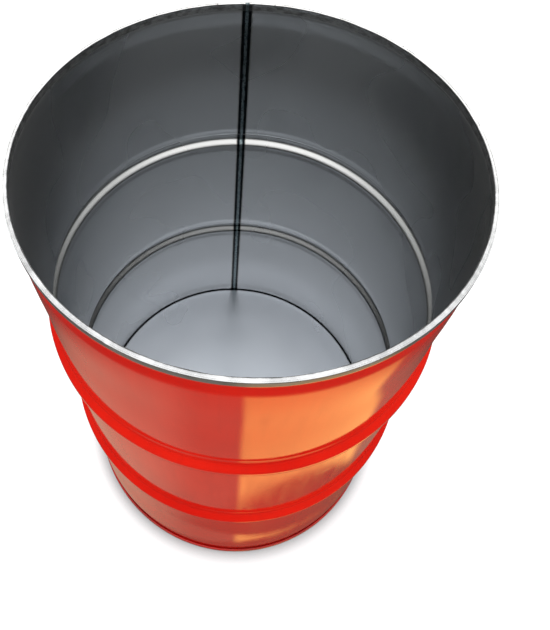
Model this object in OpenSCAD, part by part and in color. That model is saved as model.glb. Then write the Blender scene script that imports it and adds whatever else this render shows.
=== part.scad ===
// Open-top 200 litre class steel drum.
// The body is one rolled sheet, closed by a side weld and swaged with two rolling hoops.
// The bottom head is double-seamed to it. The top head was freed by grinding the crown of its
// seam away, and the ring that gripped the body's flange is still in place.
// +Z is up, and the origin is the centre of the standing plane.

/* [Body] */
// Height over both seams
drum_h = 852; // [840:1:900]
// Inside radius of the plain wall
wall_r = 285.75; // [270:0.25:300]
// Thickness of the body and head sheet
sheet = 1.2; // [0.9:0.1:1.3]

/* [Rolling hoops] */
// Height of the lower hoop's centre
lower_hoop_z = 285; // [240:1:320]
// Height of the upper hoop's centre
upper_hoop_z = 560; // [520:1:600]
// Depth of a hoop, wall to crest
hoop_depth = 8.5; // [5:0.5:12]
// Half of a hoop's width, centre to root
hoop_half = 16; // [14:1:18]
// Half of the flat on a hoop's crest
hoop_top = 4; // [2:0.5:6]
// Step of the shallow shoulder on each side of a hoop
ledge_depth = 0.8; // [0:0.1:1.5]

/* [Necks] */
// How far the wall swells out beside each seam
swell = 2.2; // [0:0.1:3]
// Distance from the end of the drum to the full swell
swell_start = 45; // [36:1:50]
// Distance from the end of the drum to where the wall is plain again
swell_end = 160; // [100:5:170]

/* [Double seams] */
// Height of a seam
seam_h = 12; // [11:0.5:15]
// Gap between neighbouring layers of a seam
layer_gap = 0.2; // [0.1:0.05:0.3]
// How much of the bottom seam's crown is worn flat
crown_flat = 0.3; // [0.1:0.1:0.5]
// Sheet left over the body's bend where the top seam is ground flat
crown_left = 0.6; // [0.3:0.1:0.8]

/* [Heads] */
// Height of the floor's top face
floor_z = 19.6; // [18:0.1:24]
// Outside radius of the corner between floor and chuck wall
corner_r = 5; // [3:0.5:6]

/* [Side seam] */
// Direction of the side seam, from +X towards +Y
weld_az = 93.4; // [0:0.1:360]
// Width of the weld
weld_w = 6; // [3:0.5:8]
// How far the weld stands proud of the sheet inside
weld_proud = 0.4; // [0.1:0.1:0.5]

/* [Hidden] */

$fn = 180;
pitch = sheet + layer_gap;           // one layer of a seam to the next
chuck_r = wall_r - pitch;            // inner face of a head's chuck wall
head_hook_r = wall_r + pitch;        // inner face of a head's hook
body_hook_r = wall_r + 2 * pitch;    // inner face of the body's hook
panel_r = wall_r + 3 * pitch;        // inner face of the outer seam panel
seam_mid_r = wall_r + pitch + sheet / 2;
head_bend = (4 * pitch + sheet) / 2; // outside radius of the head's wide bend
hook_bend = (2 * pitch + sheet) / 2; // outside radius of the narrow bends
bend_z = head_bend - crown_flat;     // centre of the bends next to the bottom crown
top_bend_z = hook_bend - sheet + crown_left; // the same next to the ground crown
curl_z = seam_h - hook_bend;         // centre of the bend where the head turns back
hook_clear = 0.6;                    // space at the tip of each hook, filled with compound
compound_gap = 0.05;                 // compound to sheet
compound_fill = 0.5;                 // how far the compound reaches past the centre of its bend
neck_start = seam_h + 1;             // the wall starts to swell above this
ledge_in = 19;                       // shoulder of a hoop, from its centre
ledge_out = 30;
fillet = 0.2;                        // share of a hoop's flank taken by each of its two fillets
flank_w = hoop_half - hoop_top;      // a hoop's flank, from root to crest
plate_r = wall_r + hoop_depth + 10;  // beyond every radius of the drum

// Angle that a width takes up on the wall
function sweep(width) = width / wall_r * 180 / PI;

function ease(u) = let (c = max(0, min(1, u))) c * c * (3 - 2 * c);
function span(a, b, n) = [for (i = [0 : n - 1]) a + (b - a) * i / n];
function backwards(list) = [for (i = [len(list) - 1 : -1 : 0]) list[i]];

// A straight flank from 0 to 1, with a fillet at its foot and another at its top
function climb(u) = u <= 0 ? 0 : u < fillet ? u * u / (2 * fillet * (1 - fillet))
                    : u <= 1 - fillet ? (u - fillet / 2) / (1 - fillet) : 1 - climb(1 - u);

// Outward offset of the wall at height z: hoops, their shoulders and the necks
function hoop(d) = hoop_depth * climb(min(1, (hoop_half - abs(d)) / flank_w));
function ledge(d) = ledge_depth * (1 - ease((abs(d) - ledge_in) / (ledge_out - ledge_in)));
function neck(e) = swell * (ease((e - neck_start) / (swell_start - neck_start))
                            - ease((e - swell_start - 20) / (swell_end - swell_start - 20)));
function relief(z) = hoop(z - lower_hoop_z) + hoop(z - upper_hoop_z)
                     + ledge(z - lower_hoop_z) + ledge(z - upper_hoop_z)
                     + neck(min(z, drum_h - z));

// The weld stands proud only clear of the seams, where it was pressed flat: 0 there, 1 further on
function stand_off(z) = ease((min(z, drum_h - z) - floor_z - 1) / 6);

// Heights at which the wall bends, from one seam to the other
function neck_levels(first) = concat([first], span(neck_start, swell_start, 9),
                                     span(swell_start, swell_end, 10), [swell_end]);
flank = concat(span(0, fillet, 3), span(1 - fillet, 1, 3), [1]);
function hoop_levels(c) = concat(span(c - ledge_out, c - ledge_in, 5), [c - ledge_in],
                                 [for (u = flank) c - hoop_half + flank_w * u],
                                 [for (u = backwards(flank)) c + hoop_half - flank_w * u],
                                 span(c + ledge_in, c + ledge_out, 5), [c + ledge_out]);
levels = concat(neck_levels(bend_z), hoop_levels(lower_hoop_z), hoop_levels(upper_hoop_z),
                [for (e = backwards(neck_levels(top_bend_z))) drum_h - e]);

// Section of the wall between two seams, thickened on its inner face by `proud`
module wall_section(proud) {
    polygon(concat([for (z = levels) [wall_r + relief(z) + sheet, z]],
                   [for (z = backwards(levels)) [wall_r + relief(z) - proud * stand_off(z), z]]));
}

// Points on an arc round the origin, from one angle to another
function arc(radius, from, to) = [for (i = [0 : 8]) let (a = from + (to - from) * i / 8)
                                  [radius * cos(a), radius * sin(a)]];

// Bent sheet that joins two layers of a seam
module bend(r, z, outside, from, to) {
    translate([r, z])
        polygon(concat(arc(outside, from, to), backwards(arc(outside - sheet, from, to))));
}

// A straight layer of sheet, from z0 to z1
module layer(r, z0, z1) {
    translate([r, z0]) square([sheet, z1 - z0]);
}

// The body's flange at an end: around and back into the head's curl
module body_hook(centre_z) {
    bend(seam_mid_r, centre_z, hook_bend, 180, 360);
    layer(body_hook_r, centre_z, curl_z - hook_clear);
}

// The part of a head that grips the flange from outside: outer panel, curl and hook
module head_grip(centre_z) {
    layer(panel_r, centre_z, curl_z);
    bend(panel_r + sheet - hook_bend, curl_z, hook_bend, 0, 180);
    layer(head_hook_r, centre_z + hook_clear, curl_z);
}

// A whole head's part of the seam, with the chuck wall that leads to its panel
module head_seam(chuck_top) {
    layer(chuck_r, bend_z, chuck_top);
    bend(seam_mid_r, bend_z, head_bend, 180, 360);
    head_grip(bend_z);
}

// What is left of a head's part of the seam once its crown is ground through
module ground_seam() {
    head_grip(top_bend_z);
    above_plane() bend(seam_mid_r, top_bend_z, head_bend, 270, 360);
}

// Sealing compound: one bead in the head's curl, one in the body's bend, each at the tip of a hook
module compound_beads(centre_z) {
    wide = sheet - 2 * compound_gap;
    tall = hook_clear - compound_gap + compound_fill;
    translate([panel_r + sheet - hook_bend - wide / 2, curl_z + compound_fill - tall])
        square([wide, tall]);
    translate([seam_mid_r - wide / 2, centre_z - compound_fill])
        square([wide, tall]);
}

// Cuts a section off at the standing plane
module above_plane() {
    intersection() {
        children();
        square([plate_r, drum_h]);
    }
}

// Turns a bottom section into the matching one at the top
module at_top() {
    translate([0, drum_h]) mirror([0, 1]) children();
}

// Whole section of the body sheet, with the wall's inner face thickened by `proud`
module body_section(proud = 0) {
    wall_section(proud);
    body_hook(bend_z);
    at_top() above_plane() body_hook(top_bend_z);
}

module body_shell() {
    color([0.82, 0.10, 0.05]) rotate([0, 0, weld_az + sweep(weld_w) / 2])
        rotate_extrude(angle = 360 - sweep(weld_w)) body_section();
}

module side_weld() {
    color([0.25, 0.27, 0.29]) rotate([0, 0, weld_az - sweep(weld_w) / 2])
        rotate_extrude(angle = sweep(weld_w)) body_section(weld_proud);
}

module bottom_head() {
    edge_r = chuck_r + sheet - corner_r;
    color([0.62, 0.65, 0.69]) rotate_extrude() {
        above_plane() head_seam(floor_z - corner_r);
        translate([0, floor_z - sheet]) square([edge_r, sheet]);
        translate([edge_r, floor_z - corner_r]) difference() {
            circle(corner_r, $fn = 48);
            circle(corner_r - sheet, $fn = 48);
            translate([-corner_r - 1, -corner_r - 1]) square([2 * corner_r + 2, corner_r + 1]);
            translate([-corner_r - 1, -1]) square([corner_r + 1, corner_r + 2]);
        }
    }
}

module bottom_seam_compound() {
    color([0.20, 0.22, 0.18]) rotate_extrude() compound_beads(bend_z);
}

module top_head_ring() {
    color([0.85, 0.85, 0.85]) rotate_extrude() at_top() ground_seam();
}

module top_seam_compound() {
    color([0.20, 0.22, 0.18]) rotate_extrude() at_top() compound_beads(top_bend_z);
}

body_shell();
side_weld();
bottom_head();
bottom_seam_compound();
top_head_ring();
top_seam_compound();
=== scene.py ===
"""Looks of the open-top steel drum.

The sheets and the weld are rebuilt as finer meshes, and the beads of compound keep their CAD meshes.
"""

import math
from collections import namedtuple

import bmesh
import bpy
from mathutils import Matrix, Vector, noise


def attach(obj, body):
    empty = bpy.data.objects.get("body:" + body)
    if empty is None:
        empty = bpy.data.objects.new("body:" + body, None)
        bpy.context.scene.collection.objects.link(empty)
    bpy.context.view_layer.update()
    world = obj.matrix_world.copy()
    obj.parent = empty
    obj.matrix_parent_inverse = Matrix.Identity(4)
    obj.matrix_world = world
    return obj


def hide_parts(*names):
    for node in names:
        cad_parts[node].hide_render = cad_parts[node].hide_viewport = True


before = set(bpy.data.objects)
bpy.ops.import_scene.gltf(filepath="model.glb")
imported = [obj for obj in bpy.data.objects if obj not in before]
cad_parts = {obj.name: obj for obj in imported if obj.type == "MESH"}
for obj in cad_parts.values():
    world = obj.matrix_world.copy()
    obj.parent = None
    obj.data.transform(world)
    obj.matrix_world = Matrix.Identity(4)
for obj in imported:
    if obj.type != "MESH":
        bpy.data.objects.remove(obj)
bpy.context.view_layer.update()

# ---------------------------------------------------------------- sizes, in metres, as in part.scad
MM = 0.001
DRUM_H = 852 * MM
WALL_R = 285.75 * MM
SHEET = 1.2 * MM
LAYER_GAP = 0.2 * MM
LOWER_HOOP_Z = 285 * MM
UPPER_HOOP_Z = 560 * MM
HOOP_DEPTH = 8.5 * MM
HOOP_HALF = 16 * MM
HOOP_TOP = 4 * MM
LEDGE_DEPTH = 0.8 * MM
LEDGE_IN = 19 * MM
LEDGE_OUT = 30 * MM
SWELL = 2.2 * MM
SWELL_START = 45 * MM
SWELL_END = 160 * MM
SEAM_H = 12 * MM
CROWN_FLAT = 0.3 * MM
CROWN_LEFT = 0.6 * MM
FLOOR_Z = 19.6 * MM
CORNER_R = 5 * MM
WELD_AZ = math.radians(93.4)
WELD_W = 6 * MM
WELD_PROUD = 0.4 * MM

PITCH = SHEET + LAYER_GAP
CHUCK_R = WALL_R - PITCH
SEAM_MID_R = WALL_R + PITCH + SHEET / 2
HEAD_BEND = (4 * PITCH + SHEET) / 2
HOOK_BEND = (2 * PITCH + SHEET) / 2
BEND_Z = HEAD_BEND - CROWN_FLAT
TOP_BEND_Z = HOOK_BEND - SHEET + CROWN_LEFT
CURL_R = WALL_R + 3 * PITCH + SHEET - HOOK_BEND
CURL_Z = SEAM_H - HOOK_BEND
HOOK_CLEAR = 0.6 * MM
NECK_START = SEAM_H + MM
TURN = 2 * math.pi

FILLET = 0.2             # share of a hoop's flank taken by each of its two fillets

# what only the looks have
RIDGE = 0.35 * MM        # nip of the seaming rolls under each seam
RIDGE_E = 15 * MM        # its distance from the end of the drum
RIDGE_HALF = 3 * MM      # half of its width
UNEVEN = 1 * MM          # scale of the wall's unevenness, which comes to 0.9 mm at most
FLOOR_WAVE = 0.5 * MM    # scale of the floor's waves, which come to 0.3 mm up or down
DENT = 0.9 * MM          # scale of the dents along the ring, the deepest of which is 0.4 mm
BURR = 1 * MM            # scale of the lip round the mouth's inner edge, 0.5 to 1.3 mm wide
BURR_H = 3.2 * MM        # depth at which that lip starts
CROWNING = 1.5           # peak of the weld's bead in mean heights, so that the mean stays WELD_PROUD
CROWN_EDGE = 1.6 * MM    # depth to which grinding left the body's bend bright
CROWN_ROUND = 0.7 * MM   # the same for the ring's bend
HEAT_SCALE = 7 * MM      # half of the dark stripe's width
STRAW = 10 * MM          # half of its width with the straw fringe


# ---------------------------------------------------------------- shape of the wall
def ease(u):
    c = max(0.0, min(1.0, u))
    return c * c * (3 - 2 * c)


def from_end(z):
    return min(z, DRUM_H - z)


def filleted(u):
    """A straight climb from 0 to 1, with a fillet at its foot and another at its top."""
    c = max(0.0, min(1.0, u))
    if c < FILLET:
        return c * c / (2 * FILLET * (1 - FILLET))
    return (c - FILLET / 2) / (1 - FILLET) if c < 1 - FILLET else 1 - filleted(1 - c)


def hoop(d):
    return HOOP_DEPTH * filleted((HOOP_HALF - abs(d)) / (HOOP_HALF - HOOP_TOP))


def ledge(d):
    return LEDGE_DEPTH * (1 - ease((abs(d) - LEDGE_IN) / (LEDGE_OUT - LEDGE_IN)))


def neck(e):
    rise = ease((e - NECK_START) / (SWELL_START - NECK_START))
    hold = SWELL_START + 20 * MM
    return SWELL * (rise - ease((e - hold) / (SWELL_END - hold)))


def ridge(e):
    """Low ridge where the seaming rolls nipped the wall under each seam."""
    d = (e - RIDGE_E) / RIDGE_HALF
    return RIDGE * (1 + math.cos(math.pi * d)) / 2 if abs(d) < 1 else 0.0


def relief(z):
    """Outward offset of the wall at height z: hoops, their shoulders and the necks."""
    lower = z - LOWER_HOOP_Z
    upper = z - UPPER_HOOP_Z
    e = from_end(z)
    return hoop(lower) + hoop(upper) + ledge(lower) + ledge(upper) + neck(e) - ridge(e)


def uneven(az, z):
    """Shallow unevenness of the rolled sheet, always inward and nothing at the seams."""
    amount = ease((from_end(z) - 30 * MM) / (120 * MM))
    around = Vector((math.cos(az), math.sin(az), 0))
    slow = noise.noise(around * 1.6 + Vector((0, 0, z * 2.5)))
    fine = noise.noise(around * 5.0 + Vector((7, 3, z * 9.0)))
    return -amount * UNEVEN * (0.55 + 0.45 * slow + 0.10 * fine)


# ---------------------------------------------------------------- mesh helpers
def arc(r, z, radius, start, stop, steps):
    """Points (radius, height) of an arc round (r, z), from angle start to stop in degrees."""
    angles = [math.radians(start + (stop - start) * i / steps) for i in range(steps + 1)]
    return [(r + radius * math.cos(a), z + radius * math.sin(a)) for a in angles]


def straight(a, b, steps):
    """Points from a to b in equal steps."""
    shares = [i / steps for i in range(steps + 1)]
    return [(a[0] + (b[0] - a[0]) * u, a[1] + (b[1] - a[1]) * u) for u in shares]


def joined(*runs):
    """One path from several runs of points, without repeating the points where they meet."""
    path = []
    for run in runs:
        for point in run:
            if not path or math.dist(path[-1], point) > 1e-6:
                path.append(point)
    return path


def both_faces(path, left_off, right_off):
    """The two faces of a sheet that follows path, at these distances to its left and right."""
    left, right = [], []
    last = len(path) - 1
    for i, (r, z) in enumerate(path):
        r0, z0 = path[max(i - 1, 0)]
        r1, z1 = path[min(i + 1, last)]
        length = math.hypot(r1 - r0, z1 - z0)
        nr, nz = -(z1 - z0) / length, (r1 - r0) / length
        left.append((r + nr * left_off, z + nz * left_off))
        right.append((r - nr * right_off, z - nz * right_off))
    return left, right


def mesh_object(name, verts, faces, marks, materials):
    """Links a smooth-shaded mesh, with its normals outward and its edges over 40 degrees sharp."""
    mesh = bpy.data.meshes.new(name)
    mesh.from_pydata(verts, [], faces)
    for material in materials:
        mesh.materials.append(material)
    mesh.polygons.foreach_set("material_index", marks)
    work = bmesh.new()
    work.from_mesh(mesh)
    bmesh.ops.recalc_face_normals(work, faces=work.faces)
    work.to_mesh(mesh)
    work.free()
    mesh.polygons.foreach_set("use_smooth", [True] * len(faces))
    mesh.set_sharp_from_angle(angle=math.radians(40))
    obj = bpy.data.objects.new(name, mesh)
    bpy.context.scene.collection.objects.link(obj)
    return obj


def turned(name, faces_of_sheet, turns, materials, start=0.0, sweep=TURN, warp=None, on_axis=False,
           pick=None):
    """A closed sheet turned about Z.

    faces_of_sheet are its left and right faces as (radius, height) points. materials are those of the
    left face, the right face and the cut edges. warp(az, r, z, side) gives a point's new (r, z), and side
    is 0 on the left face and 1 on the right. pick(side, r, z) gives a face's material instead. With
    on_axis the first points lie on the axis.
    """
    left, right = faces_of_sheet
    whole = sweep > TURN - 1e-6
    columns = turns if whole else turns + 1
    skip = 1 if on_axis else 0
    loop = [(r, z, 0) for r, z in left[skip:]] + [(r, z, 1) for r, z in right[skip:][::-1]]
    count = len(loop)
    half = count // 2
    verts, faces, marks = [], [], []
    for c in range(columns):
        az = start + sweep * c / turns
        for r, z, side in loop:
            if warp:
                r, z = warp(az, r, z, side)
            verts.append((r * math.cos(az), r * math.sin(az), z))
    for c in range(turns):
        a, b = c * count, ((c + 1) % columns) * count
        for k in range(count if not on_axis else count - 1):
            m = (k + 1) % count
            faces.append((a + k, a + m, b + m, b + k))
            side = 2 if k in (half - 1, count - 1) else int(k >= half)
            marks.append(pick(side, loop[k][0], (loop[k][1] + loop[m][1]) / 2) if pick else side)
    if on_axis:
        for k, z, mark in ((0, left[0][1], 0), (count - 1, right[0][1], 1)):
            centre = len(verts)
            verts.append((0, 0, z))
            for c in range(turns):
                faces.append((centre, c * count + k, ((c + 1) % columns) * count + k))
                marks.append(mark)
    if not whole:
        for base in (0, (columns - 1) * count):
            for k in range(half - 1):
                faces.append((base + k, base + k + 1, base + count - 2 - k, base + count - 1 - k))
                marks.append(2)
    return mesh_object(name, verts, faces, marks, materials)


def stands_for(obj, node):
    """Makes a piece the visible form of a CAD node, whose own mesh it hides."""
    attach(obj, "root")
    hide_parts(node)


def flipped(path):
    """A bottom section turned into the matching one at the top."""
    return [(r, DRUM_H - z) for r, z in path]


# ---------------------------------------------------------------- shader helpers
def put(tree, value, socket):
    """Sets a socket to a number, or links another node's socket to it."""
    if isinstance(value, bpy.types.NodeSocket):
        tree.links.new(value, socket)
    else:
        socket.default_value = value


def add(tree, kind, inputs=None, **settings):
    """A node of that kind. inputs maps its sockets to numbers or to other nodes' sockets."""
    item = tree.nodes.new(kind)
    for key, value in settings.items():
        setattr(item, key, value)
    for key, value in (inputs or {}).items():
        put(tree, value, item.inputs[key])
    return item


def calc(tree, operation, a, b=0.0, c=0.0):
    return add(tree, "ShaderNodeMath", {0: a, 1: b, 2: c}, operation=operation).outputs[0]


def times(tree, a, b):
    return calc(tree, "MULTIPLY", a, b)


def wobble(tree, value, noise_value, amount):
    """value moved to and fro by noise, by less than half of amount."""
    return calc(tree, "ADD", value, times(tree, calc(tree, "SUBTRACT", noise_value, 0.5), amount))


def along(tree, vector, direction):
    """How far a vector points in a direction."""
    dot = add(tree, "ShaderNodeVectorMath", {0: vector, 1: direction}, operation="DOT_PRODUCT")
    return dot.outputs["Value"]


def ramp(tree, value, low, high, to_low=0.0, to_high=1.0):
    """value from low..high to to_low..to_high, clamped, with soft ends."""
    node = add(tree, "ShaderNodeMapRange", {0: value, 1: low, 2: high, 3: to_low, 4: to_high},
               interpolation_type="SMOOTHSTEP")
    return node.outputs[0]


def blend(tree, factor, a, b):
    """Colour a where factor is 0, and b where it is 1."""
    node = add(tree, "ShaderNodeMix", {0: factor, 6: a, 7: b}, data_type="RGBA")
    return node.outputs[2]


def blend_value(tree, factor, a, b):
    """The same for numbers."""
    return add(tree, "ShaderNodeMix", {0: factor, 2: a, 3: b}).outputs[0]


def grain(tree, vector, scale, detail=2.0, roughness=0.5, stretch=(1, 1, 1)):
    """Noise from about 0.2 to 0.8. stretch multiplies each axis, so a small one draws it out."""
    scaled = add(tree, "ShaderNodeVectorMath", {0: vector, 1: stretch}, operation="MULTIPLY")
    node = add(tree, "ShaderNodeTexNoise", {"Vector": scaled.outputs[0], "Scale": scale,
                                            "Detail": detail, "Roughness": roughness})
    return node.outputs["Fac"]


def spots(tree, vector, scale, size, stretch=(1, 1, 1)):
    """1 inside small scattered spots and 0 elsewhere."""
    scaled = add(tree, "ShaderNodeVectorMath", {0: vector, 1: stretch}, operation="MULTIPLY")
    cells = add(tree, "ShaderNodeTexVoronoi", {"Vector": scaled.outputs[0], "Scale": scale})
    return ramp(tree, cells.outputs["Distance"], size * 0.5, size, 1.0, 0.0)


def bumps(tree, *layers):
    """Bump of several (height, strength, distance) layers, one on the other."""
    normal = None
    for height, strength, distance in layers:
        inputs = {"Height": height, "Strength": strength, "Distance": distance}
        if normal:
            inputs["Normal"] = normal
        normal = add(tree, "ShaderNodeBump", inputs).outputs[0]
    return normal


def material(name):
    """A new material, with its node tree and its shader."""
    made = bpy.data.materials.new(name)
    made.use_nodes = True
    tree = made.node_tree
    return made, tree, tree.nodes["Principled BSDF"]


# spot is the position in metres. length runs round the drum from opposite the side weld, and unrolled
# is (length, z, radius).
Place = namedtuple("Place", "spot unrolled length z radius")


def place(tree):
    """Where the point being shaded is on the drum."""
    spot = add(tree, "ShaderNodeTexCoord").outputs["Object"]
    turned_to_weld = add(tree, "ShaderNodeVectorRotate",
                         {"Vector": spot, "Axis": (0, 0, 1), "Angle": math.pi - WELD_AZ}).outputs[0]
    x, y, z = add(tree, "ShaderNodeSeparateXYZ", {0: turned_to_weld}).outputs
    length = times(tree, calc(tree, "ARCTAN2", y, x), WALL_R)
    radius = calc(tree, "SQRT", calc(tree, "ADD", times(tree, x, x), times(tree, y, y)))
    unrolled = add(tree, "ShaderNodeCombineXYZ", {0: length, 1: z, 2: radius}).outputs[0]
    return Place(spot, unrolled, length, z, radius)


# ---------------------------------------------------------------- materials
# black of heat scale, and also painted shade in the crevice round the floor
SCALE_AND_SHADE_BLACK = (0.006, 0.008, 0.010, 1)


def from_weld(tree, at):
    """Distance from the middle of the side weld, measured round the drum."""
    return calc(tree, "SUBTRACT", math.pi * WALL_R, calc(tree, "ABSOLUTE", at.length))


def red_paint():
    """Glossy red enamel, with painted shade darkening it low down, more pebbled low down, grimy at the foot
    and faintly scuffed.
    """
    made, tree, shader = material("red_enamel")
    at = place(tree)
    cloud = grain(tree, at.spot, 4.0, 3.0, 0.55)
    runs = grain(tree, at.unrolled, 60.0, 3.0, 0.6, (1, 0.12, 1))
    peel = grain(tree, at.unrolled, 330.0, 2.0, 0.5, (1, 0.45, 1))
    red = blend(tree, ramp(tree, cloud, 0.35, 0.65), (0.76, 0.010, 0.004, 1), (0.86, 0.016, 0.006, 1))
    red = blend(tree, ramp(tree, runs, 0.40, 0.72, 0.0, 0.22), red, (0.62, 0.012, 0.005, 1))
    foot = ramp(tree, at.z, 4 * MM, 50 * MM, 1.0, 0.0)
    grime = times(tree, foot, ramp(tree, cloud, 0.38, 0.62, 0.35, 0.85))
    red = blend(tree, grime, red, (0.16, 0.006, 0.005, 1))
    # painted shade: the red darkens over the lowest 420 mm; the same mask makes the paint more pebbled low
    # down
    lower = ramp(tree, at.z, 20 * MM, 420 * MM, 1.0, 0.0)
    red = blend(tree, times(tree, lower, 0.32), red, (0.40, 0.008, 0.004, 1))
    scuffs = grain(tree, at.unrolled, 26.0, 5.0, 0.7, (0.25, 1.6, 1))
    scuff = ramp(tree, scuffs, 0.66, 0.74, 0.0, 0.30)
    red = blend(tree, scuff, red, (0.42, 0.05, 0.035, 1))
    put(tree, red, shader.inputs["Base Color"])
    rough = calc(tree, "ADD", ramp(tree, runs, 0.3, 0.7, 0.05, 0.10), times(tree, scuff, 0.5))
    put(tree, calc(tree, "ADD", rough, times(tree, grime, 0.35)), shader.inputs["Roughness"])
    pebbled = times(tree, peel, lower)
    normal = bumps(tree, (peel, 0.06, 0.0003), (runs, 0.05, 0.0006), (pebbled, 0.22, 0.0004))
    put(tree, normal, shader.inputs["Normal"])
    shader.inputs["IOR"].default_value = 1.5
    return made


def inner_steel():
    """Bare satin steel of the inner wall."""
    made, tree, shader = material("bare_grey_steel")
    at = place(tree)
    cloud = grain(tree, at.spot, 5.0, 1.0, 0.5)
    grey = blend(tree, ramp(tree, cloud, 0.3, 0.7), (0.575, 0.58, 0.575, 1), (0.61, 0.615, 0.61, 1))
    # the wall darkens towards the bottom
    grey = blend(tree, ramp(tree, at.z, 150 * MM, 620 * MM, 0.72, 0.0), grey, (0.41, 0.415, 0.425, 1))
    # heat scale beside the weld, crisp at its edges, with a straw fringe
    wander = grain(tree, at.unrolled, 45.0, 3.0, 0.6)
    off = wobble(tree, from_weld(tree, at), wander, 1.2 * MM)
    grey = blend(tree, ramp(tree, off, HEAT_SCALE, STRAW, 0.55, 0.0), grey, (0.13, 0.11, 0.085, 1))
    scale = ramp(tree, off, HEAT_SCALE - 0.4 * MM, HEAT_SCALE + 0.4 * MM, 1.0, 0.0)
    grey = blend(tree, scale, grey, SCALE_AND_SHADE_BLACK)
    # compound that the top head left behind, then painted shade in the crevice round the floor
    ragged = wobble(tree, at.z, grain(tree, at.unrolled, 70.0, 4.0, 0.7), 3 * MM)
    band = ramp(tree, ragged, DRUM_H - SEAM_H - 0.2 * MM, DRUM_H - SEAM_H + 0.8 * MM)
    smear = grain(tree, at.unrolled, 160.0, 5.0, 0.7, (0.5, 1, 1))
    residue = times(tree, band, ramp(tree, smear, 0.35, 0.65, 0.35, 0.85))
    grey = blend(tree, residue, grey, (0.12, 0.12, 0.115, 1))
    # painted shade: the crevice round the floor is painted black
    crevice = ramp(tree, at.z, FLOOR_Z - 2 * MM, FLOOR_Z + 1.5 * MM, 1.0, 0.0)
    grey = blend(tree, crevice, grey, SCALE_AND_SHADE_BLACK)
    put(tree, grey, shader.inputs["Base Color"])
    shader.inputs["Metallic"].default_value = 1.0
    worn = ramp(tree, cloud, 0.3, 0.7, 0.24, 0.30)
    put(tree, calc(tree, "ADD", worn, times(tree, residue, 0.25)), shader.inputs["Roughness"])
    put(tree, bumps(tree, (times(tree, smear, band), 0.5, 0.0006)), shader.inputs["Normal"])
    return made


def floor_steel():
    """Bare satin steel of the floor, paler and bluer than the wall: painted light, standing for the sky that
    shines on it.
    """
    made, tree, shader = material("pale_grey_steel")
    at = place(tree)
    cloud = grain(tree, at.spot, 7.0, 1.0, 0.5)
    # painted light: the grey is made pale and blue for the sky shining on the floor
    grey = blend(tree, ramp(tree, cloud, 0.3, 0.7), (0.72, 0.765, 0.825, 1), (0.79, 0.835, 0.895, 1))
    # painted shade: the floor's corner, down in the crevice, is painted black
    rim = ramp(tree, at.z, FLOOR_Z - 3.5 * MM, FLOOR_Z - 0.4 * MM, 1.0, 0.0)
    grey = blend(tree, rim, grey, SCALE_AND_SHADE_BLACK)
    put(tree, grey, shader.inputs["Base Color"])
    shader.inputs["Metallic"].default_value = 1.0
    put(tree, ramp(tree, cloud, 0.3, 0.7, 0.27, 0.34), shader.inputs["Roughness"])
    put(tree, bumps(tree, (cloud, 0.12, 0.001)), shader.inputs["Normal"])
    return made


def weld_steel():
    """The blue-grey bead of the side weld, with black edges."""
    made, tree, shader = material("heat_tinted_weld")
    at = place(tree)
    ripple = grain(tree, at.unrolled, 380.0, 2.0, 0.5, (0.35, 1, 1))
    mottle = grain(tree, at.unrolled, 120.0, 4.0, 0.7)
    blue = blend(tree, ramp(tree, mottle, 0.3, 0.7), (0.10, 0.14, 0.15, 1), (0.22, 0.26, 0.27, 1))
    edge = ramp(tree, from_weld(tree, at), 1.8 * MM, 3.1 * MM)
    blue = blend(tree, edge, blue, SCALE_AND_SHADE_BLACK)
    put(tree, blue, shader.inputs["Base Color"])
    shader.inputs["Metallic"].default_value = 1.0
    put(tree, ramp(tree, mottle, 0.3, 0.7, 0.22, 0.34), shader.inputs["Roughness"])
    put(tree, bumps(tree, (ripple, 0.35, 0.0005), (mottle, 0.10, 0.0006)), shader.inputs["Normal"])
    return made


def ground_steel():
    """The crown, ground bright, with a few dark pits."""
    made, tree, shader = material("ground_steel")
    at = place(tree)
    cuts = grain(tree, at.unrolled, 900.0, 3.0, 0.6, (0.02, 1, 1))
    rings = add(tree, "ShaderNodeCombineXYZ", {0: at.length, 1: at.radius}).outputs[0]
    lines = grain(tree, rings, 1500.0, 3.0, 0.6, (0.015, 1, 1))
    cloud = grain(tree, at.unrolled, 40.0, 4.0, 0.65)
    steel = blend(tree, ramp(tree, cloud, 0.3, 0.7), (0.62, 0.62, 0.61, 1), (0.90, 0.90, 0.89, 1))
    steel = blend(tree, ramp(tree, lines, 0.60, 0.75, 0.0, 0.35), steel, (0.45, 0.44, 0.42, 1))
    pits = spots(tree, at.unrolled, 95.0, 0.16)
    patchy = ramp(tree, grain(tree, at.unrolled, 11.0, 2.0), 0.52, 0.60)
    dark = times(tree, pits, patchy)
    steel = blend(tree, times(tree, dark, 0.85), steel, (0.10, 0.08, 0.07, 1))
    # the burr's torn edge
    ragged = wobble(tree, at.radius, cloud, 1.4 * MM)
    torn = ramp(tree, ragged, WALL_R + 0.1 * MM, WALL_R + 0.6 * MM, 0.92, 0.0)
    steel = blend(tree, torn, steel, (0.05, 0.05, 0.05, 1))
    put(tree, steel, shader.inputs["Base Color"])
    put(tree, calc(tree, "SUBTRACT", 1.0, times(tree, dark, 0.8)), shader.inputs["Metallic"])
    put(tree, ramp(tree, cloud, 0.3, 0.7, 0.22, 0.34), shader.inputs["Roughness"])
    normal = bumps(tree, (cuts, 0.10, 0.0003), (lines, 0.12, 0.0003), (cloud, 0.4, 0.0006))
    put(tree, normal, shader.inputs["Normal"])
    return made


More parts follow.
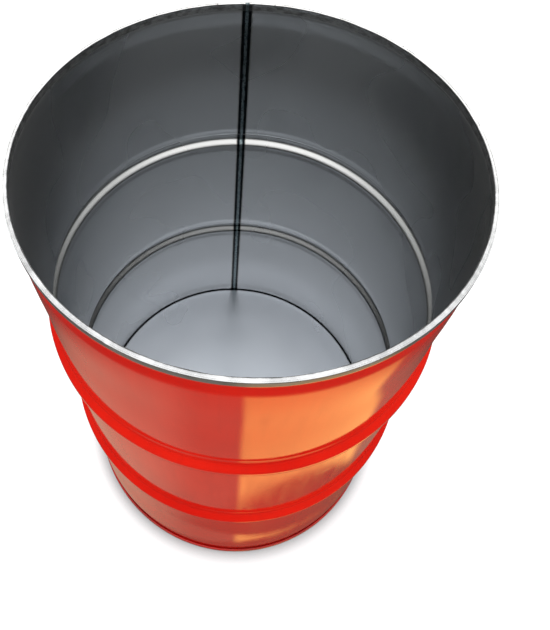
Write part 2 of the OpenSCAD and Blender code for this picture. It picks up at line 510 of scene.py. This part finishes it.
def panel_steel():
    """Dull steel of the top ring's outer panel."""
    made, tree, shader = material("dull_bare_steel")
    at = place(tree)
    cloud = grain(tree, at.unrolled, 45.0, 4.0, 0.65, (0.5, 1, 1))
    steel = blend(tree, ramp(tree, cloud, 0.3, 0.7), (0.24, 0.24, 0.235, 1), (0.40, 0.40, 0.39, 1))
    # the red paint that is left on its lowest part, and painted shade in a dark line under it, where the
    # curl meets the wall
    chipped = wobble(tree, at.z, cloud, 3 * MM)
    paint = ramp(tree, chipped, DRUM_H - 8.9 * MM, DRUM_H - 8.3 * MM, 1.0, 0.0)
    steel = blend(tree, paint, steel, (0.74, 0.012, 0.005, 1))
    # painted shade: the groove between the curl and the body wall
    seam_groove_shade = ramp(tree, at.z, DRUM_H - SEAM_H, DRUM_H - SEAM_H + 0.7 * MM, 1.0, 0.0)
    put(tree, blend(tree, seam_groove_shade, steel, (0.05, 0.02, 0.015, 1)), shader.inputs["Base Color"])
    put(tree, times(tree, calc(tree, "SUBTRACT", 1.0, paint), 0.7), shader.inputs["Metallic"])
    rough = ramp(tree, cloud, 0.3, 0.7, 0.30, 0.42)
    put(tree, blend_value(tree, paint, rough, 0.12), shader.inputs["Roughness"])
    put(tree, bumps(tree, (cloud, 0.3, 0.0005)), shader.inputs["Normal"])
    return made


def compound():
    """Matt sealing compound."""
    made, tree, shader = material("sealing_compound")
    at = place(tree)
    lumps = grain(tree, at.spot, 300.0, 4.0, 0.6)
    put(tree, blend(tree, lumps, (0.05, 0.055, 0.04, 1), (0.12, 0.12, 0.09, 1)), shader.inputs["Base Color"])
    put(tree, ramp(tree, lumps, 0.3, 0.7, 0.6, 0.85), shader.inputs["Roughness"])
    put(tree, bumps(tree, (lumps, 0.5, 0.0005)), shader.inputs["Normal"])
    return made


RED = red_paint()
INNER = inner_steel()
FLOOR = floor_steel()
WELD = weld_steel()
GROUND = ground_steel()
PANEL = panel_steel()
COMPOUND = compound()


# ---------------------------------------------------------------- body
def wall_heights():
    """Heights of the wall's rings of points, close together at the hoops and the necks."""
    heights = [BEND_Z]
    while True:
        z = heights[-1]
        near_hoop = min(abs(z - LOWER_HOOP_Z), abs(z - UPPER_HOOP_Z))
        if near_hoop < LEDGE_OUT:
            step = 2 * MM
        elif from_end(z) < 60 * MM:
            step = 3 * MM
        else:
            step = min(24 * MM, max(3 * MM, (near_hoop - LEDGE_OUT) / 2))
        if z + step * 1.3 > DRUM_H - TOP_BEND_Z:
            return heights + [DRUM_H - TOP_BEND_Z]
        heights.append(z + step)


def hook(centre_z):
    """Middle of the body's flange, from its tip down and round to the foot of the wall."""
    return joined(straight((CURL_R, CURL_Z - HOOK_CLEAR), (CURL_R, centre_z), 2),
                  arc(SEAM_MID_R, centre_z, HOOK_BEND - SHEET / 2, 0, -180, 10))


def grip(centre_z):
    """Middle of the head's outer panel, curl and hook, from the wide bend on."""
    bend = HOOK_BEND - SHEET / 2
    return joined(straight((CURL_R + bend, centre_z), (CURL_R + bend, CURL_Z), 5),
                  arc(CURL_R, CURL_Z, bend, 0, 180, 10),
                  straight((SEAM_MID_R, CURL_Z), (SEAM_MID_R, centre_z + HOOK_CLEAR), 2))


def body_path():
    """Middle of the whole body sheet, from one flange's tip to the other's."""
    wall = [(WALL_R + SHEET / 2 + relief(z), z) for z in wall_heights()]
    return joined(hook(BEND_Z), wall, flipped(hook(TOP_BEND_Z)[::-1]))


def cut_flat(az, r, z, side):
    """Unevenness of the wall, and both crowns flat: worn at the bottom and ground at the top."""
    r += uneven(az, z)
    return r, max(0.0, min(DRUM_H, z))


def burred(az, r, z, side):
    """The same, with the ragged lip that grinding rolled over the mouth's inner edge."""
    r, z = cut_flat(az, r, z, side)
    lip = ease((z - DRUM_H + BURR_H) / (3 * MM))
    if side == 0 and lip > 0 and r < WALL_R + SHEET:
        around = Vector((math.cos(az), math.sin(az), 0))
        waves = ((0.8, 9), (0.5, 40), (0.4, 110))
        rough = 0.5 + sum(size * noise.noise(around * often) for size, often in waves)
        r -= lip * BURR * (0.55 + 0.65 * max(-0.6, min(1.2, rough)))
    return r, z


def bare_crown(side, r, z):
    """Material of the body's faces: bare where the crown is ground, else as the side says."""
    return 2 if side == 0 and z > DRUM_H - CROWN_EDGE else side


body = body_path()
half_weld = WELD_W / 2 / WALL_R
shell = turned("body_shell_sheet", both_faces(body, SHEET / 2, SHEET / 2), 300, (INNER, RED, GROUND),
               WELD_AZ + half_weld, TURN - 2 * half_weld, burred, pick=bare_crown)
stands_for(shell, "body_shell")


def stand_off(z):
    """How far the weld stands proud: 0 near the seams, where it was pressed flat, and 1 further on."""
    return ease((from_end(z) - FLOOR_Z - MM) / (6 * MM))


def weld_bead(az, r, z, side):
    """A crowned bead on the inner face, with slight waves along it."""
    r, z = cut_flat(az, r, z, side)
    if side == 0:
        across = (az - WELD_AZ) / half_weld
        wave = 1 + 0.12 * noise.noise(Vector((across, z * 160, 5)))
        r -= WELD_PROUD * stand_off(z) * wave * (1 - across * across) * CROWNING
    return r, z


weld = turned("side_weld_bead", both_faces(body, SHEET / 2, SHEET / 2), 12, (WELD, RED, GROUND),
              WELD_AZ - half_weld, 2 * half_weld, weld_bead)
stands_for(weld, "side_weld")


# ---------------------------------------------------------------- bottom head
def bottom_path():
    """Middle of the whole bottom head, from the axis out and round the seam."""
    mid = SHEET / 2
    corner_c = (CHUCK_R + SHEET - CORNER_R, FLOOR_Z - CORNER_R)
    return joined(straight((0, FLOOR_Z - mid), (corner_c[0], FLOOR_Z - mid), 40),
                  arc(corner_c[0], corner_c[1], CORNER_R - mid, 90, 0, 10),
                  straight((CHUCK_R + mid, corner_c[1]), (CHUCK_R + mid, BEND_Z), 5),
                  arc(SEAM_MID_R, BEND_Z, HEAD_BEND - mid, 180, 360, 20),
                  grip(BEND_Z))


def pressed(az, r, z, side):
    """The floor's faint waves, and the bottom crown worn flat."""
    flat = 1 - ease((r - 200 * MM) / (70 * MM))
    wave = noise.noise(Vector((r * math.cos(az), r * math.sin(az), 0)) * 7)
    lift = ease(r / (50 * MM)) * flat * wave * FLOOR_WAVE if z > 15 * MM else 0
    return r, max(0.0, z + lift)


head = turned("bottom_head_pressing", both_faces(bottom_path(), SHEET / 2, SHEET / 2), 300,
              (FLOOR, RED, GROUND), warp=pressed, on_axis=True)
stands_for(head, "bottom_head")


# ---------------------------------------------------------------- ground ring of the top head
def ring_path():
    """Middle of the ring, from where the wide bend was ground through."""
    start = 360 - math.degrees(math.asin(TOP_BEND_Z / (HEAD_BEND - SHEET)))
    bend = arc(SEAM_MID_R, TOP_BEND_Z, HEAD_BEND - SHEET / 2, start, 360, 10)
    return flipped(joined(bend, grip(TOP_BEND_Z)))


def dressed(az, r, z, side):
    """The ring after grinding: flat on top, with small dents along its outer edge."""
    dent = max(0.0, noise.noise(Vector((math.cos(az), math.sin(az), 0)) * 22) - 0.25)
    high = ease((z - DRUM_H + 9 * MM) / (8 * MM))
    return r - dent * high * DENT, min(DRUM_H, z)


def ring_face(side, r, z):
    """Material of the ring's faces: ground on top and dull below."""
    return 1 if z < DRUM_H - CROWN_ROUND else 0


ring = turned("top_head_ground_ring", both_faces(ring_path(), SHEET / 2, SHEET / 2), 720,
              (GROUND, PANEL, GROUND), warp=dressed, pick=ring_face)
stands_for(ring, "top_head_ring")

for node in ("bottom_seam_compound", "top_seam_compound"):
    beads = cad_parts[node]
    beads.data.materials.clear()
    beads.data.materials.append(COMPOUND)


# ---------------------------------------------------------------- stage, light and camera
STAGE_R = 9.0
STAGE_DROP = 0.3 * MM    # under the standing plane, clear of the drum's own faces
STAGE_SIDES = 96


def pale_floor():
    """The floor's material. It glows for the camera only, and less close to the drum, which paints a shadow
    round the drum's foot.
    """
    made, tree, shader = material("pale_floor")
    seen = add(tree, "ShaderNodeLightPath").outputs["Is Camera Ray"]
    # painted shadow: the glow fades where the drum is within 40 mm
    contact = add(tree, "ShaderNodeAmbientOcclusion", {"Distance": 40 * MM}, samples=8).outputs["AO"]
    glow = ramp(tree, contact, 0.45, 1.0, 0.0, 0.62)
    shader.inputs["Base Color"].default_value = (0.52, 0.56, 0.56, 1)
    shader.inputs["Roughness"].default_value = 0.9
    shader.inputs["Specular IOR Level"].default_value = 0.0
    shader.inputs["Emission Color"].default_value = (1, 1, 1, 1)
    put(tree, times(tree, seen, glow), shader.inputs["Emission Strength"])
    return made


def light_all_round(sky):
    """The studio's light by direction. up is the sine of the angle above the horizon."""
    toward = add(sky, "ShaderNodeTexCoord").outputs["Generated"]
    up = along(sky, toward, (0, 0, 1))
    right = along(sky, toward, (1, 0, 0))
    back = along(sky, toward, (0, 1, 0))
    # round straight down it is brown, with a warm patch to the right and a paler side to the left
    warm = times(sky, ramp(sky, right, 0.025, 0.055), ramp(sky, back, 0.07, 0.14, 1.0, 0.0))
    low = blend(sky, warm, (0.20, 0.165, 0.12, 1), (1.25, 0.70, 0.22, 1))
    low = blend(sky, ramp(sky, right, -0.30, -0.10, 1.0, 0.0), low, (0.36, 0.28, 0.20, 1))
    # it is nearly black from there up to the horizon
    low = blend(sky, ramp(sky, up, -0.93, -0.85), low, (0.05, 0.045, 0.04, 1))
    # the brown has a dark middle, about 15 degrees in radius and a little off straight down
    under = ramp(sky, along(sky, toward, (0.050, 0.050, -0.9975)), 0.960, 0.966)
    low = blend(sky, under, low, (0.10, 0.08, 0.06, 1))
    # above the horizon it is white, with a bright ring about 37 degrees up and a dim one at about 55
    air = blend(sky, ramp(sky, up, 0.12, 0.42), low, (1.05, 1.06, 1.08, 1))
    dim = times(sky, ramp(sky, up, 0.68, 0.76), ramp(sky, up, 0.87, 0.93, 1.0, 0.0))
    air = blend(sky, dim, air, (0.62, 0.63, 0.65, 1))
    ring_light = times(sky, ramp(sky, up, 0.45, 0.55), ramp(sky, up, 0.66, 0.72, 1.0, 0.0))
    air = blend(sky, ring_light, air, (1.45, 1.44, 1.42, 1))
    # the camera itself sees a plain pale backdrop
    direct = add(sky, "ShaderNodeLightPath").outputs["Is Camera Ray"]
    put(sky, blend(sky, direct, air, (0.85, 0.86, 0.87, 1)), sky.nodes["Background"].inputs["Color"])
    sky.nodes["Background"].inputs["Strength"].default_value = 1.4


stage_mesh = bpy.data.meshes.new("studio_floor")
corners = [TURN * i / STAGE_SIDES for i in range(STAGE_SIDES)]
edge = [(STAGE_R * math.cos(a), STAGE_R * math.sin(a), -STAGE_DROP) for a in corners]
stage_mesh.from_pydata(edge, [], [tuple(range(STAGE_SIDES))])
stage_mesh.materials.append(pale_floor())
studio = bpy.data.objects.new("studio_floor", stage_mesh)
bpy.context.scene.collection.objects.link(studio)
studio.visible_glossy = False

world = bpy.data.worlds.new("studio")
bpy.context.scene.world = world
world.use_nodes = True
light_all_round(world.node_tree)

# fitted to the drum's rim, both hoops, the edge of the floor and the outlines
camera_data = bpy.data.cameras.new("camera")
camera = bpy.data.objects.new("camera", camera_data)
bpy.context.scene.collection.objects.link(camera)
camera_data.sensor_width = 36
camera_data.lens = 37.274
camera_data.shift_x = 0.0851
camera_data.shift_y = -0.1842
camera_data.clip_end = 40
camera.location = (0, -0.5261, 1.4343)
turn_left = Matrix.Rotation(math.radians(3.639), 4, "Z")
look_down = Matrix.Rotation(math.radians(90 - 52.351), 4, "X")
level = Matrix.Rotation(math.radians(0.773), 4, "Z")
camera.rotation_euler = (turn_left @ look_down @ level).to_euler()
bpy.context.scene.camera = camera

bpy.context.scene.view_settings.view_transform = "Standard"
bpy.context.scene.view_settings.look = "None"
bpy.context.scene.view_settings.exposure = 0.0

bpy.context.view_layer.update()
